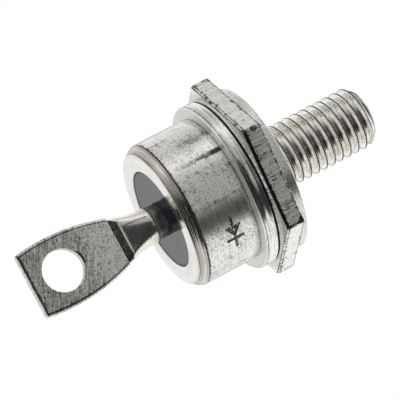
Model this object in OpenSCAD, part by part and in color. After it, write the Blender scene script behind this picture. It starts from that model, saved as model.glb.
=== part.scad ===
// Stud diode: hexagon base with a threaded stud, drawn metal cap, glass seal and a flattened tube terminal.
// Millimetres. Origin at the centre of the seating face, +Z towards the terminal, stud along -Z.
// The terminal's flat faces look along Y, its width lies along X and its hole runs along Y.

/* [Stud] */
// Diameter over the thread crests
stud_d = 6.2; // [5.8:0.05:6.35]
// Length below the seating face
stud_l = 11.8; // [10.7:0.1:12.5]
// Chamfer at the free end
stud_chamfer = 0.8; // [0.4:0.1:1.2]
// Pitch of the thread, which is modelled as ring grooves
thread_pitch = 0.907; // [0.8:0.001:1.1]
// Depth of the thread
thread_depth = 0.5; // [0.35:0.01:0.55]
// Plain length under the seating face
stud_plain = 1.2; // [0.8:0.1:2]

/* [Base] */
// Hexagon across its flats
hex_af = 17.4; // [17.2:0.05:17.8]
// Hexagon height
hex_h = 1.9; // [1.6:0.1:3]
// Turn of a hexagon corner away from the terminal's width
hex_turn = -11.5; // [-30:0.5:30]
// Amount taken off each hexagon corner
corner_cut = 0.05; // [0.03:0.01:0.3]
// Height of the round collar that carries the seating face
collar_h = 1; // [0.5:0.1:1.5]
// Collar inset from the hexagon's flats
collar_inset = 0.27; // [0.1:0.01:0.5]
// Height of the round shoulder in front of the hexagon
shoulder_h = 0.25; // [0.15:0.05:0.5]
// Height of the braze groove under the weld ring
groove_h = 0.15; // [0.1:0.05:0.25]
// Depth of the braze groove
groove_depth = 0.4; // [0.2:0.05:0.6]

/* [Weld ring] */
// Ring outside diameter
weld_d = 17.06; // [16.6:0.02:17.1]
// Ring height
weld_h = 1.05; // [0.8:0.05:1.4]
// Pedestal diameter inside the ring
pedestal_d = 12; // [11.6:0.1:12.4]

/* [Cap] */
// Overhang of the flange past the weld ring
flange_over = 0.04; // [0:0.01:0.1]
// Flange height
flange_h = 0.9; // [0.7:0.05:1.2]
// Rounding of the flange's front edge
flange_round = 0.45; // [0.2:0.05:0.6]
// Fillet between the flange and the wall
flange_fillet = 0.25; // [0.1:0.05:0.4]
// Outside diameter of the cap's wall
cap_d = 14.86; // [14.4:0.02:15]
// Height from the weld ring to the seam
cap_h = 5.85; // [5:0.05:6.2]
// Wall thickness
cap_wall = 0.8; // [0.6:0.05:0.9]

/* [Seal] */
// Height from the seam to the ring's front face
ring_h = 0.95; // [0.7:0.05:1.2]
// Height of the ring's straight band above the seam
band_h = 0.3; // [0.2:0.05:0.4]
// Diameter of the ring's front edge
ring_edge_d = 13.78; // [13.4:0.02:14]
// Height of the bead at the front edge
bead_h = 0.14; // [0.1:0.01:0.2]
// Depth of the groove behind the bead
bead_groove = 0.06; // [0.03:0.01:0.1]
// Small bevel at the front edge
ring_bevel = 0.07; // [0.03:0.01:0.15]
// Depth of the ring inside the cap's wall
ring_spigot = 0.95; // [0.7:0.05:1.2]
// Glass diameter
glass_d = 10.06; // [9.6:0.02:10.4]
// Glass thickness
glass_h = 1.4; // [1:0.05:1.6]
// Depth of the glass behind the ring's front face
glass_recess = 0.14; // [0.05:0.01:0.3]
// Diameter of the tube through the glass
tube_d = 3.38; // [3.2:0.02:3.5]
// Bare tube between the glass and the terminal
tube_show = 1.05; // [0.6:0.05:1.4]
// Length of the tube below the glass
tube_drop = 0.15; // [0.05:0.05:0.3]
// Diameter of the tube's spigot inside the terminal
spigot_d = 2.6; // [2.4:0.05:2.8]
// Length of the spigot
spigot_l = 1.5; // [1:0.1:1.6]

/* [Terminal] */
// Barrel diameter
barrel_d = 3.58; // [3.5:0.02:3.8]
// Straight length of the barrel
barrel_l = 1.7; // [1.2:0.1:2]
// Bevel of the barrel's open end
barrel_bevel = 0.12; // [0.05:0.01:0.2]
// Length over which the tube widens
flare_l = 1.6; // [1.4:0.05:2.4]
// Depth at the end of the widening
ridge_d = 2.5; // [2.2:0.05:3.2]
// How far the widening stands past the flat's sides
ridge_over = 0.05; // [0.03:0.01:0.1]
// Length of the step down to the flat
step_l = 0.65; // [0.4:0.05:0.8]
// Overall height above the seating face
lug_top = 25.4; // [24.8:0.1:25.6]
// Thickness of the flat
lug_t = 1; // [0.8:0.05:1.4]
// Largest width of the flat
lug_w = 7.04; // [6.7:0.02:7.4]
// Distance of the largest width from the end
lug_w_pos = 3.2; // [2.8:0.1:3.6]
// Radius of the curved sides
lug_side_r = 20; // [18:0.5:24]
// Bevel along the curved sides
lug_bevel = 0.26; // [0.15:0.01:0.35]
// Hole diameter
hole_d = 4.15; // [3.6:0.05:4.4]
// Distance of the hole's centre from the end
hole_pos = 3.45; // [3.2:0.05:3.7]

/* [Inside] */
// Diameter of the lower support plate
plate_d = 9.2; // [8.6:0.1:9.8]
// Thickness of the lower support plate
plate_h = 0.6; // [0.4:0.05:0.8]
// Diameter of the silicon die
die_d = 8.4; // [7.8:0.1:8.5]
// Thickness of the silicon die
die_h = 0.35; // [0.25:0.05:0.45]
// Diameter of the upper plate
upper_d = 7; // [6.6:0.1:7.4]
// Thickness of the upper plate
upper_h = 0.4; // [0.3:0.05:0.6]
// Thickness of each solder layer
solder_h = 0.15; // [0.1:0.05:0.2]
// Height of the coating above the die
coat_h = 0.25; // [0.15:0.05:0.3]
// Diameter of the inner lead's post
lead_d = 1.5; // [1.2:0.1:1.6]
// Thickness of the bent strap under the post
strap_t = 0.5; // [0.3:0.05:0.7]
// Width of the bent strap
strap_w = 2.4; // [2:0.1:3]
// Reach of the strap's foot from the axis
strap_foot = 1.8; // [1.4:0.1:2.2]
// Reach of the strap's top leg from the axis
strap_reach = 1; // [0.9:0.1:1.4]
// Distance of the strap's bend centre from the axis
bend_x = 0.9; // [0.6:0.1:1.2]

/* [Hidden] */
$fn = 96;
eps = 0.01;
stud_r = stud_d / 2;
root_r = stud_r - thread_depth;
thread_flank = thread_depth * tan(30);
groove_w = thread_pitch * 7 / 8;
thread_n = floor((stud_l - stud_chamfer - stud_plain) / thread_pitch);
hex_r = hex_af / sqrt(3);
collar_r = hex_af / 2 - collar_inset;
hex_top = collar_h + hex_h;
shoulder_r = weld_d / 2;
groove_z = hex_top + shoulder_h;
ring_z = groove_z + groove_h;
groove_r = shoulder_r - groove_depth;
weld_top = ring_z + weld_h;
cap_r = cap_d / 2;
bore_r = cap_r - cap_wall;
seam_z = weld_top + cap_h;
face_z = seam_z + ring_h;
band_r = cap_r - ring_bevel / 2;
edge_r = ring_edge_d / 2;
bead_z = face_z - bead_h;
glass_r = glass_d / 2;
glass_top = face_z - glass_recess;
glass_low = glass_top - glass_h;
tube_r = tube_d / 2;
tube_low = glass_low - tube_drop;
barrel_z = glass_top + tube_show;
barrel_r = barrel_d / 2;
spigot_r = spigot_d / 2;
flare_z = barrel_z + barrel_l;
ridge_z = flare_z + flare_l;
flat_z = ridge_z + step_l;
slice = 0.05;
hole_z = lug_top - hole_pos;
side_z = lug_top - lug_w_pos;
side_x = lug_side_r - lug_w / 2;
ridge_w = 2 * (sqrt(pow(lug_side_r, 2) - pow(side_z - ridge_z, 2)) - side_x + ridge_over);
flat_w = 2 * (sqrt(pow(lug_side_r, 2) - pow(side_z - flat_z, 2)) - side_x);
plate_z = weld_top + solder_h;
die_z = plate_z + plate_h;
upper_z = die_z + die_h;
foot_z = upper_z + upper_h + solder_h;
bend_r = (tube_low - foot_z) / 2;
bend_z = foot_z + bend_r;
lead_r = lead_d / 2;
lead_top = barrel_z + spigot_l;

// Screw stud with a plain length under the seat; each groove has a thread's flanks and root.
module screw_stud() {
    rotate_extrude($fn = 48) polygon(concat(
        [
            [0, -stud_l],
            [stud_r - stud_chamfer, -stud_l],
            [stud_r, stud_chamfer - stud_l]
        ],
        [for (i = [thread_n - 1:-1:0]) let (top = -stud_plain - i * thread_pitch) each [
            [stud_r, top - groove_w],
            [root_r, top - groove_w + thread_flank],
            [root_r, top - thread_flank],
            [stud_r, top]
        ]],
        [
            [stud_r, collar_h],
            [0, collar_h]
        ]
    ));
}

// One turned and milled piece: stud, collar, hexagon, shoulder and pedestal.
module base_stud() {
    color([0.72, 0.71, 0.68]) union() {
        screw_stud();
        rotate_extrude() polygon([
            [0, 0],
            [collar_r - ring_bevel, 0],
            [collar_r, ring_bevel],
            [collar_r, collar_h + eps],
            [shoulder_r, collar_h + eps],
            [shoulder_r, groove_z],
            [groove_r, groove_z],
            [groove_r, ring_z],
            [pedestal_d / 2, ring_z],
            [pedestal_d / 2, weld_top],
            [0, weld_top]
        ]);
        translate([0, 0, collar_h]) intersection() {
            rotate([0, 0, hex_turn]) cylinder(r = hex_r, h = hex_h, $fn = 6);
            cylinder(r = hex_r - corner_cut, h = hex_h);
        }
    }
}

// Steel ring brazed to the base, to which the cap's flange is welded.
module weld_ring() {
    color([0.74, 0.73, 0.7]) rotate_extrude() polygon([
        [pedestal_d / 2, ring_z],
        [weld_d / 2, ring_z],
        [weld_d / 2, weld_top - ring_bevel],
        [weld_d / 2 - ring_bevel, weld_top],
        [pedestal_d / 2, weld_top]
    ]);
}

// Drawn cap with its flange; the front edge of the flange is rounded and the wall meets it in a fillet.
module cap_shell() {
    flange_r = weld_d / 2 + flange_over;
    top = weld_top + flange_h;
    color([0.77, 0.76, 0.73]) rotate_extrude() polygon(concat(
        [
            [bore_r, weld_top],
            [flange_r - ring_bevel, weld_top],
            [flange_r, weld_top + ring_bevel]
        ],
        [for (a = [0:15:90]) [flange_r - flange_round * (1 - cos(a)), top - flange_round * (1 - sin(a))]],
        [for (a = [0:15:90]) [cap_r + flange_fillet * (1 - sin(a)), top + flange_fillet * (1 - cos(a))]],
        [
            [cap_r, seam_z - ring_bevel],
            [cap_r - ring_bevel, seam_z],
            [bore_r, seam_z]
        ]
    ));
}

// Turned ring that closes the cap and holds the glass: band, cone, groove, bead and a flat front face.
module seal_ring() {
    color([0.8, 0.79, 0.76]) rotate_extrude() polygon([
        [glass_r, seam_z - ring_spigot],
        [bore_r, seam_z - ring_spigot],
        [bore_r, seam_z],
        [cap_r - 2 * ring_bevel, seam_z],
        [band_r, seam_z + ring_bevel],
        [band_r, seam_z + band_h],
        [edge_r, bead_z - bead_groove],
        [edge_r - bead_groove, bead_z],
        [edge_r, face_z - ring_bevel],
        [edge_r - ring_bevel, face_z],
        [glass_r + ring_bevel, face_z],
        [glass_r, face_z - ring_bevel]
    ]);
}

module glass_seal() {
    color([0.4, 0.4, 0.43]) translate([0, 0, glass_low]) difference() {
        cylinder(r = glass_r, h = glass_h);
        translate([0, 0, -1]) cylinder(r = tube_r, h = glass_h + 2);
    }
}

// Tube sealed into the glass, with a thinner spigot inside the terminal's barrel.
module lead_tube() {
    color([0.36, 0.36, 0.36]) rotate_extrude() polygon([
        [lead_r, tube_low],
        [tube_r, tube_low],
        [tube_r, barrel_z],
        [spigot_r, barrel_z],
        [spigot_r, lead_top],
        [lead_r, lead_top]
    ]);
}

// Section of the tube where it is squeezed: flat in the middle, round at the sides.
module squeezed_section() {
    points = 48;
    linear_extrude(height = slice) polygon([
        for (i = [0:points - 1])
            let (a = 360 * i / points, c = cos(a), s = sin(a))
                [ridge_w / 2 * sign(c) * pow(abs(c), 0.55), ridge_d / 2 * sign(s) * pow(abs(s), 0.55)]
    ]);
}

// Flat of the terminal: two curved sides with bevelled edges, a square end and the hole.
module lug_flat() {
    bevelled = [
        [0, -lug_t / 2],
        [lug_side_r - lug_bevel, -lug_t / 2],
        [lug_side_r, lug_bevel - lug_t / 2],
        [lug_side_r, lug_t / 2 - lug_bevel],
        [lug_side_r - lug_bevel, lug_t / 2],
        [0, lug_t / 2]
    ];
    difference() {
        intersection() {
            translate([-lug_w, -lug_t, ridge_z - slice])
                cube([2 * lug_w, 2 * lug_t, lug_top - ridge_z + slice]);
            translate([side_x, 0, side_z]) rotate([90, 0, 0]) rotate_extrude() polygon(bevelled);
            translate([-side_x, 0, side_z]) rotate([90, 0, 0]) rotate_extrude() polygon(bevelled);
        }
        translate([0, lug_t, hole_z]) rotate([90, 0, 0]) cylinder(d = hole_d, h = 2 * lug_t);
    }
}

// Flattened tube: round barrel, widening neck, step and flat with a hole.
module terminal_lug() {
    color([0.66, 0.65, 0.62]) union() {
        difference() {
            rotate_extrude() polygon([
                [0, barrel_z],
                [barrel_r - barrel_bevel, barrel_z],
                [barrel_r, barrel_z + barrel_bevel],
                [barrel_r, flare_z + slice],
                [0, flare_z + slice]
            ]);
            translate([0, 0, barrel_z - 1]) cylinder(r = spigot_r, h = spigot_l + 1);
        }
        hull() {
            translate([0, 0, flare_z]) cylinder(r = barrel_r, h = slice, $fn = 48);
            translate([0, 0, ridge_z - slice]) squeezed_section();
        }
        hull() {
            translate([0, 0, ridge_z - slice]) squeezed_section();
            translate([-flat_w / 2 + lug_bevel, -lug_t / 2, flat_z - slice])
                cube([flat_w - 2 * lug_bevel, lug_t, slice]);
        }
        lug_flat();
    }
}

// Copper lead: a bent strap that gives with heat, and a post up into the tube.
module inner_lead() {
    color([0.72, 0.45, 0.3]) union() {
        translate([-strap_foot, -strap_w / 2, foot_z]) cube([strap_foot + bend_x, strap_w, strap_t]);
        translate([-strap_reach, -strap_w / 2, tube_low - strap_t])
            cube([strap_reach + bend_x, strap_w, strap_t]);
        translate([bend_x, 0, bend_z]) rotate([90, 0, 0]) difference() {
            cylinder(r = bend_r, h = strap_w, center = true);
            cylinder(r = bend_r - strap_t, h = strap_w + 1, center = true);
            translate([-2 * bend_r, -2 * bend_r, -strap_w]) cube([2 * bend_r, 4 * bend_r, 2 * strap_w]);
        }
        translate([0, 0, tube_low - strap_t]) cylinder(r = lead_r, h = lead_top - tube_low + strap_t);
    }
}

module solder_base() {
    color([0.6, 0.6, 0.6]) translate([0, 0, weld_top]) cylinder(d = plate_d, h = solder_h);
}

module lower_plate() {
    color([0.5, 0.5, 0.52]) translate([0, 0, plate_z]) cylinder(d = plate_d, h = plate_h);
}

module silicon_die() {
    color([0.25, 0.26, 0.3]) translate([0, 0, die_z]) cylinder(d = die_d, h = die_h);
}

module upper_plate() {
    color([0.5, 0.5, 0.52]) translate([0, 0, upper_z]) cylinder(d = upper_d, h = upper_h);
}

module solder_lead() {
    color([0.6, 0.6, 0.6]) translate([-strap_foot, -strap_w / 2, foot_z - solder_h])
        cube([strap_foot + bend_x, strap_w, solder_h]);
}

// Soft ring over the die's edge.
module junction_coating() {
    color([0.75, 0.72, 0.66]) rotate_extrude() polygon([
        [die_d / 2, die_z],
        [plate_d / 2, die_z],
        [plate_d / 2, upper_z],
        [die_d / 2, upper_z + coat_h],
        [upper_d / 2, upper_z + coat_h],
        [upper_d / 2, upper_z],
        [die_d / 2, upper_z]
    ]);
}

base_stud();
weld_ring();
cap_shell();
seal_ring();
glass_seal();
lead_tube();
terminal_lug();
inner_lead();
solder_base();
lower_plate();
silicon_die();
upper_plate();
solder_lead();
junction_coating();
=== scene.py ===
"""Looks of a stud diode: turned and pressed pieces, plated finishes, a light tent and a camera.

Sizes are in millimetres above the seating face, as in the construction model, and become
metres when a piece is put into the scene. Angles about the axis start on the side of the
terminal's front face.
"""
import logging
import math
from dataclasses import astuple, dataclass
from enum import Enum
from functools import cached_property, reduce
from typing import Any, Callable, Iterable, Mapping, Sequence, Union

import bmesh
import bpy
from bmesh import ops
from mathutils import Matrix, Vector


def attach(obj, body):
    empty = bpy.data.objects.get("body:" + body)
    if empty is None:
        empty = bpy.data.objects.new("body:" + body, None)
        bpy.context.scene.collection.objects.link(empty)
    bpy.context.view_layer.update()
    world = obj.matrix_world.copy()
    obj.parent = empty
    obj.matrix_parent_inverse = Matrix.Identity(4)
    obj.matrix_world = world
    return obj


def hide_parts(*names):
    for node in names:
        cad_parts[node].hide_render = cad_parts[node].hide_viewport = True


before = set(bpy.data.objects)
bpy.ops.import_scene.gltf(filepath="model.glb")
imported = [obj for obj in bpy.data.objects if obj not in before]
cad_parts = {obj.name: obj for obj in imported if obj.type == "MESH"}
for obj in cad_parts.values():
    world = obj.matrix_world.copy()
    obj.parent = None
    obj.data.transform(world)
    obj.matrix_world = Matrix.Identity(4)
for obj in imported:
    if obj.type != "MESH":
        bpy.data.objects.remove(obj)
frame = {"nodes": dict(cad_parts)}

LOG = logging.getLogger("stud_diode")
METRE = 0.001
MERGE = 0.0008  # points closer than this are one
TOUCH = 0.001  # heights closer than this are the same
ORIGIN = (0.0, 0.0, 0.0)
AXIS = (0.0, 0.0, 1.0)
WHITE = (1.0, 1.0, 1.0, 1.0)

# Sizes that two sub-assemblies share
PEDESTAL = 6.0  # radius of the pedestal inside the weld ring
GROOVE = 8.13  # radius of the floor of the braze groove
RING_LOW = 3.3  # height of the weld ring's lower face
WELD = 4.35  # height of the weld between ring and flange
EYE = 5.03  # radius of the glass
BARREL_LOW = 12.06  # height of the lip of the terminal's barrel
SPIGOT = 1.3  # radius of the tube's spigot inside the barrel

Colour = tuple[float, float, float]
Number = Union[float, "Wire"]
Material = bpy.types.Material
Object = bpy.types.Object
Shell = bmesh.types.BMesh
Point = bmesh.types.BMVert
Edge = bmesh.types.BMEdge


class Grain(Enum):
    """Direction of fine tool lines; the value is the share of lengths kept along them."""

    TURNED = 0.25
    AXIAL = 0.05
    GROUND = 0.06


class Bevel(Enum):
    """What a bevel rounds."""

    POINTS = "VERTICES"
    EDGES = "EDGES"


class Slot(Enum):
    """Finish slots of the record."""

    BASE = "base_plating"
    STEEL = "steel_plating"
    GLASS = "seal_glass"
    TUBE = "dark_tube"
    LUG = "lug_plating"


# Shader wiring


def binary(operation: str) -> Callable[["Wire", Number], "Wire"]:
    """Returns a method that applies one Math node to two values."""
    return lambda first, second: first.math(operation, second)


class Wire:
    """A shader socket that can be used in sums."""

    __add__ = __radd__ = binary("ADD")
    __sub__ = binary("SUBTRACT")
    __mul__ = __rmul__ = binary("MULTIPLY")
    __truediv__ = binary("DIVIDE")
    least = binary("MINIMUM")
    most = binary("MAXIMUM")

    def __init__(self, bench: "Bench", socket: bpy.types.NodeSocket) -> None:
        """Keeps an output socket and the bench whose tree holds it."""
        self.bench = bench
        self.socket = socket

    def math(self, operation: str, *others: Number) -> "Wire":
        """Returns the result of one Math node."""
        values = dict(enumerate((self, *others)))
        return self.bench.add("Math", {"operation": operation}, values)

    def __rsub__(self, other: float) -> "Wire":
        """Returns a number less this value."""
        return (self * -1.0) + other

    def size(self) -> "Wire":
        """Returns the value without its sign."""
        return self.math("ABSOLUTE")

    def rise(self, low: float, high: float) -> "Wire":
        """Goes smoothly from 0 to 1.

        Args:
            low: Value that gives 0.
            high: Value that gives 1; below low for a fall.

        Returns:
            The eased share.
        """
        if high < low:
            return 1.0 - self.rise(high, low)
        sockets = {"Value": self, "From Min": low, "From Max": high}
        return self.bench.add("MapRange", {"interpolation_type": "SMOOTHSTEP"}, sockets)

    def near(self, middle: float, outer: float, inner: float) -> "Wire":
        """Returns 1 within the inner distance of a value and 0 beyond the outer one."""
        return (self - middle).size().rise(outer, inner)


class Bench:
    """A node tree under construction."""

    def __init__(self, tree: bpy.types.NodeTree) -> None:
        """Takes the tree of a material or of the world and empties it."""
        self.tree = tree
        tree.nodes.clear()

    def node(self, kind: str, settings: Mapping[str, Any], sockets: Mapping[Any, Any]) -> bpy.types.Node:
        """Adds a node of any kind.

        Args:
            kind: Blender's name of the shader node.
            settings: Properties to set.
            sockets: Values or wires for the inputs.

        Returns:
            The node.
        """
        made = self.tree.nodes.new("ShaderNode" + kind)
        for name, value in settings.items():
            setattr(made, name, value)
        for key, value in sockets.items():
            if isinstance(value, Wire):
                self.tree.links.new(value.socket, made.inputs[key])
            else:
                made.inputs[key].default_value = value
        return made

    def add(self, kind: str, settings: Mapping[str, Any], sockets: Mapping[Any, Any],
            out: int | str = 0) -> Wire:
        """Adds a node and returns one of its outputs as a wire."""
        return Wire(self, self.node(kind, settings, sockets).outputs[out])

    def vector(self, operation: str, first: Any, second: Any, out: int | str = 0) -> Wire:
        """Returns the result of one Vector Math node."""
        return self.add("VectorMath", {"operation": operation}, {0: first, 1: second}, out)

    def join(self, x: Number, y: Number, z: Number) -> Wire:
        """Returns a vector of three values."""
        return self.add("CombineXYZ", {}, {0: x, 1: y, 2: z})

    def blend(self, share: Number, first: Any, second: Any) -> Wire:
        """Returns a mix of two colours, wires or plain ones, by the share of the second."""
        first, second = (side if isinstance(side, Wire) else (*side, 1.0) for side in (first, second))
        return self.add("Mix", {"data_type": "RGBA"}, {0: share, 6: first, 7: second}, 2)

    def ray(self, *kinds: str) -> Wire:
        """Returns 1 for rays of these kinds."""
        rays = [self.add("LightPath", {}, {}, f"Is {kind} Ray") for kind in kinds]
        return reduce(Wire.most, rays)

    def bump(self, height: Wire, depth: float) -> Wire:
        """Returns a normal from a height and its depth in millimetres."""
        sockets = {"Strength": 1.0, "Distance": depth * METRE, "Height": height}
        return self.add("Bump", {}, sockets)


@dataclass(frozen=True)
class Pattern:
    """Fractal noise and the range of it that shows."""

    scale: float  # features per millimetre
    detail: float  # octaves
    rough: float  # weight of the finer octaves
    low: float = 0.0  # noise that gives 0
    high: float = 1.0  # noise that gives 1
    weight: float = 1.0  # largest value

    def raw(self, where: Wire) -> Wire:
        """Returns the plain noise, about 0.5."""
        sockets = {"Vector": where, "Scale": self.scale, "Detail": self.detail, "Roughness": self.rough}
        return where.bench.add("TexNoise", {}, sockets)

    def at(self, where: Wire) -> Wire:
        """Returns the weighted range of the noise."""
        return self.raw(where).rise(self.low, self.high) * self.weight


@dataclass
class Place:
    """Where a shaded point is on the part, in millimetres."""

    bench: Bench  # bench of the material
    spot: Wire  # the point as a vector
    x: Wire  # distance along the terminal's width
    y: Wire  # distance through the terminal
    z: Wire  # height above the seating face
    r: Wire  # distance from the axis
    turn: Wire  # angle about the axis

    @classmethod
    def of(cls, bench: Bench) -> "Place":
        """Reads the place from the object's own coordinates.

        Args:
            bench: Bench of the material.

        Returns:
            The place.
        """
        raw = bench.add("TexCoord", {}, {}, "Object")
        spot = bench.vector("MULTIPLY", raw, (1.0 / METRE,) * 3)
        parts = bench.node("SeparateXYZ", {}, {0: spot}).outputs
        x, y, z = (Wire(bench, part) for part in parts)
        r = (x * x + y * y).math("SQRT")
        return cls(bench, spot, x, y, z, r, x.math("ARCTAN2", y * -1.0))

    def way(self, grain: Grain, share: float) -> Wire:
        """Shortens the place along a tool's way, so that noise stretches along it.

        Args:
            grain: Direction of the tool.
            share: What is left of lengths along its way.

        Returns:
            The place as a vector.
        """
        if grain is Grain.TURNED:
            return self.bench.join(self.r, self.turn * share, self.z)
        if grain is Grain.AXIAL:
            return self.bench.join(self.x, self.y, self.z * share)
        cosine, sine = 0.45, 0.89
        across = self.x * sine - self.z * cosine
        return self.bench.join(self.x * cosine + self.z * sine, across * share, self.y)


# Finishes


@dataclass(frozen=True)
class Finish:
    """Common part of all finishes."""

    name: str

    @cached_property
    def blank(self) -> Material:
        """A new material of this name."""
        made = bpy.data.materials.new(self.name)
        made.use_nodes = True
        return made

    @cached_property
    def place(self) -> Place:
        """The shaded point on that material."""
        return Place.of(Bench(self.blank.node_tree))

    @property
    def inputs(self) -> dict[str, Any]:
        """Inputs of the Principled shader."""
        raise NotImplementedError

    def material(self) -> Material:
        """Makes the material.

        Returns:
            The material, ending in one Principled shader.
        """
        bench = self.place.bench
        shader = bench.add("BsdfPrincipled", {}, self.inputs)
        bench.node("OutputMaterial", {}, {"Surface": shader})
        return self.blank


@dataclass(frozen=True, kw_only=True)
class Plating(Finish):
    """Nickel plate over a machined or drawn surface."""

    light: Colour = (0.8, 0.785, 0.745)  # clean plate
    dark: Colour = (0.13, 0.125, 0.115)  # stained and scuffed plate, and the colour of painted shade
    ink: Colour = (0.012, 0.011, 0.014)  # what covers the plate
    rough: float = 0.24  # roughness of clean plate
    grain: Grain = Grain.TURNED  # direction of the tool lines
    lines: float = 0.004  # depth of the tool lines
    pitch: float = 5.0  # tool lines per millimetre
    stain: float = 0.3  # share of soft stains
    streak: float = 0.3  # contrast of the tool lines
    speck: float = 0.3  # contrast of fine specks
    fine: float = 5.0  # specks per millimetre
    least_rough: float = 0.08  # smallest roughness
    CLOUD = Pattern(0.32, 4.0, 0.6, 0.42, 0.7)

    @property
    def soil_and_painted_light(self) -> Wire:
        """The share of dark marks that only this surface has; on some finishes it also paints shade and
        lightens painted highlights.
        """
        raise NotImplementedError

    @property
    def cover_and_painted_highlight(self) -> Wire:
        """The share of the surface under ink, residue and matt coats; on some finishes it also paints pale
        highlights.
        """
        raise NotImplementedError

    def tint(self, colour: Wire) -> Wire:
        """Returns the colour after marks that aren't plain darkening."""
        return colour

    @property
    def inputs(self) -> dict[str, Any]:
        """Lays stains, tool lines, specks, marks with painted shade and highlights, and ink over the plate."""
        place = self.place
        bench = place.bench
        lines = Pattern(self.pitch, 3.0, 0.65, 0.34, 0.66).at(place.way(self.grain, self.grain.value))
        grit = Pattern(self.fine, 3.0, 0.7, 0.34, 0.66).at(place.spot)
        soft = self.CLOUD.at(place.spot) * self.stain
        marks = self.soil_and_painted_light
        uneven = (lines - 0.5) * self.streak + (grit - 0.5) * self.speck
        # Stains and marks darken the plate here, and so does the painted shade in some finishes' marks.
        dirt_and_painted_light = (soft + marks + uneven).most(0.0).least(1.0)
        colour = self.tint(bench.blend(dirt_and_painted_light, self.light, self.dark))
        ink = self.cover_and_painted_highlight
        rough = self.rough + soft * 0.1 + (grit - 0.5) * 0.08 + (lines - 0.5) * 0.06 + marks * 0.15
        return {
            "Base Color": bench.blend(ink, colour, self.ink), "Metallic": 1.0 - ink,
            "Roughness": rough.most(self.least_rough),
            "Normal": bench.bump(lines * 0.75 + grit * 0.25, self.lines)}


@dataclass(frozen=True, kw_only=True)
class HexPlating(Plating):
    """Plate on the hexagon, scuffed by a spanner along its edges, with painted reflections along its front
    rim.
    """

    form: "Base"  # the base under it
    inset: float = 8.6  # distance of the front face's edges from the axis
    CUTS = Pattern(2.4, 3.0, 0.6)  # deep milling lines
    PATCH = Pattern(0.9, 3.0, 0.6, 0.38, 0.52)  # where they are deep
    HATCH = Pattern(7.0, 2.0, 0.6, 0.48, 0.62)  # shallow milling lines
    FLECKS = Pattern(1.9, 5.0, 0.75)

    @property
    def soil_and_painted_light(self) -> Wire:
        """Milling lines, scuffs that crowd towards the edges, dark rims, and painted reflections along the
        front bevel.
        """
        place = self.place
        low, edge, z = self.form.hex_low, self.form.hex_high, place.z
        sector = math.pi / 3.0
        turned = place.turn - math.radians(self.form.hex_turn)
        local = turned - (turned / sector).math("ROUND") * sector
        worn = turned.size().rise(0.56, 0.5)
        way = place.way(Grain.AXIAL, 0.12)
        cuts = self.CUTS.raw(way).near(0.5, 0.026, 0.01) * self.PATCH.at(place.spot)
        milled = cuts * (0.25 + 0.5 * worn) + self.HATCH.at(way) * (0.06 + 0.06 * worn)
        flecks = self.FLECKS.raw(place.spot)
        side = z.rise(edge - 0.004, edge - 0.02)
        front = z.rise(edge - 0.75, edge - 0.15) * side
        back = z.rise(low + 0.45, low + 0.1)
        scuffs = (flecks + front * 0.1 + back * 0.09).rise(0.6, 0.66) * (0.25 + 0.55 * side)
        # Painted reflection: a dark band where the flats meet the front bevel, black on the worn flat, and two
        # thin dark lines along the bevel.
        rim = z.rise(edge - 0.32, edge - 0.28) * side
        bend = sector / 2.0 - local.size()
        corner = bend.rise(0.05, 0.015) * flecks.rise(0.46, 0.56) * 0.8 + bend.rise(0.02, 0.01) * 0.4
        outer = z.near(edge - 0.31, 0.07, 0.03) * (0.35 + 0.5 * flecks.rise(0.42, 0.55))
        inner = (place.r * local.math("COSINE")).near(self.inset, 0.07, 0.04)
        thin = outer + inner * z.rise(edge - 0.09, edge - 0.06) * 0.6
        painted_rim_reflection = rim * (0.22 + 0.2 * flecks.rise(0.5, 0.6)) + thin
        heel = z.rise(low + 0.19, low + 0.12) * (0.35 + 0.5 * flecks.rise(0.42, 0.54))
        rims = (rim * worn * 0.95).most(painted_rim_reflection) + corner * side + heel
        return milled + scuffs + rims

    @property
    def cover_and_painted_highlight(self) -> Wire:
        """The matt front face."""
        place = self.place
        edge = self.form.hex_high
        return place.z.rise(edge - 0.02, edge - 0.005) * place.r.rise(9.7, 9.0) * 0.55


@dataclass(frozen=True, kw_only=True)
class BrazePlating(Plating):
    """Plate beside the braze joint, which is black."""

    joint: float = 3.25  # height of the middle of the joint
    half: float = 0.13  # half of the joint's height
    flux: float = 2.99  # height of the flux beside it
    FLECKS = Pattern(2.8, 4.0, 0.75, 0.58, 0.66, 0.45)
    TURNED = Pattern(5.5, 2.0, 0.6, 0.48, 0.54, 0.36)  # fine turned lines
    SPECKS = Pattern(4.4, 3.0, 0.7, 0.44, 0.53)

    @property
    def soil_and_painted_light(self) -> Wire:
        """The black joint, fine turned lines above it and some flecks."""
        place = self.place
        above = place.turn.rise(-0.55, -0.2) * place.z.rise(self.joint + 0.1, self.joint + 0.2)
        lines = self.TURNED.at(place.way(Grain.TURNED, 0.12)) * above
        joint = place.z.near(self.joint, self.half + 0.03, self.half - 0.02)
        return self.FLECKS.at(place.spot) + lines + joint

    @property
    def cover_and_painted_highlight(self) -> Wire:
        """Pale specks of flux beside the joint."""
        place = self.place
        return self.SPECKS.at(place.spot) * place.z.near(self.flux, 0.13, 0.07)


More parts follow.
